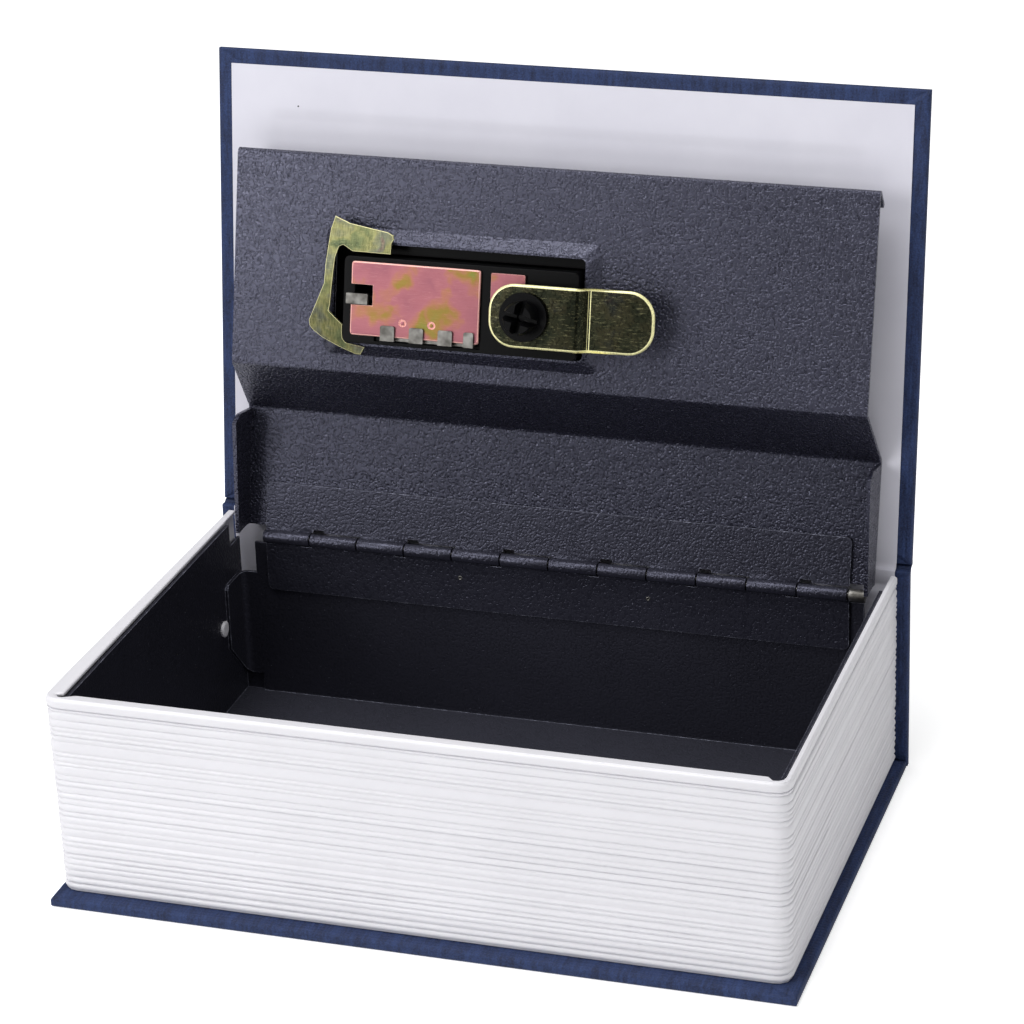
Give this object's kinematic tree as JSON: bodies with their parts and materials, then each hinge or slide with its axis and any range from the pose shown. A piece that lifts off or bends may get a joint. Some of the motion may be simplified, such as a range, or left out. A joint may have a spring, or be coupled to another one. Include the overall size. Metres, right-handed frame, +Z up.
{
  "type": "book diversion safe",
  "caption": "Hollow book with a cloth-bound case, a moulded page block and a folded steel cash box with a hinged, combination-locked lid.",
  "frame": {"origin": "middle of the back board's underside, which the safe rests on", "axes": "+X along the hinge, +Y from the fore edge to the spine, +Z up"},
  "size_m": [0.18, 0.1381, 0.1698],
  "materials": {
    "book_cloth": "fine woven, matt",
    "joint_cloth": "fine woven, matt",
    "endpaper": "smooth paper",
    "page_plastic": "gloss",
    "box_paint": "fine powder coat",
    "lid_paint": "hammered powder coat",
    "hinge_paint": "satin paint",
    "bare_steel": "bright",
    "black_plastic": "satin",
    "pink_zinc": "iridescent zinc plating, pink",
    "yellow_zinc": "iridescent zinc plating, yellow"
  },
  "bodies": {
    "case": {"back_board": "book_cloth", "spine_board": "book_cloth", "back_joint_cloth": "joint_cloth", "front_joint_cloth": "joint_cloth", "spine_endpaper": "endpaper", "page_block": "page_plastic", "steel_box": "box_paint", "keeper_bracket": "box_paint", "hinge_leaf_box": "hinge_paint", "hinge_pin": "bare_steel"},
    "lid": {"lid_plate": "lid_paint", "hinge_leaf_lid": "hinge_paint", "lock_housing": "black_plastic", "lock_faceplate": "black_plastic", "dial_axle": "bare_steel", "lock_cover_plate": "pink_zinc", "spindle_plate": "pink_zinc", "spring_comb": "bare_steel", "retaining_clip": "yellow_zinc"},
    "cover": {"front_board": "book_cloth", "front_endpaper": "endpaper"},
    "latch": {"lock_knob": "black_plastic", "cam_latch": "yellow_zinc", "latch_retainer": "black_plastic"},
    "dial_1_wheel": {"dial_1": "black_plastic"},
    "dial_2_wheel": {"dial_2": "black_plastic"},
    "dial_3_wheel": {"dial_3": "black_plastic"},
    "reset": {"reset_lever": "bare_steel"}
  },
  "joints": [
    {"name": "lid_hinge", "type": "hinge", "parent": "case", "child": "lid", "pos_m": [0, 0.0515, 0.0486], "axis": [1, 0, 0], "range_deg": [0, 104]},
    {"name": "cover_hinge", "type": "hinge", "parent": "case", "child": "cover", "pos_m": [0, 0.0593, 0.0538], "axis": [1, 0, 0], "range_deg": [0, 98], "deforming": ["front_joint_cloth"]},
    {"name": "latch_turn", "type": "hinge", "parent": "lid", "child": "latch", "pos_m": [-0.0019, 0.04467, 0.11709], "axis": [0, -0.9703, 0.2419], "range_deg": [0, 90]},
    {"name": "dial_1_turn", "type": "hinge", "parent": "lid", "child": "dial_1_wheel", "pos_m": [-0.0379, 0.05442, 0.11486], "axis": [1, 0, 0], "continuous": true},
    {"name": "dial_2_turn", "type": "hinge", "parent": "lid", "child": "dial_2_wheel", "pos_m": [-0.03045, 0.05442, 0.11486], "axis": [1, 0, 0], "continuous": true},
    {"name": "dial_3_turn", "type": "hinge", "parent": "lid", "child": "dial_3_wheel", "pos_m": [-0.023, 0.05442, 0.11486], "axis": [1, 0, 0], "continuous": true},
    {"name": "reset_slide", "type": "slide", "parent": "lid", "child": "reset", "axis": [0, 0.2419, 0.9703], "range_m": [0, 0.0015]}
  ],
  "couplings": [
    {"joint": "cover_hinge", "follows": "lid_hinge", "ratio": 0.9423}
  ]
}
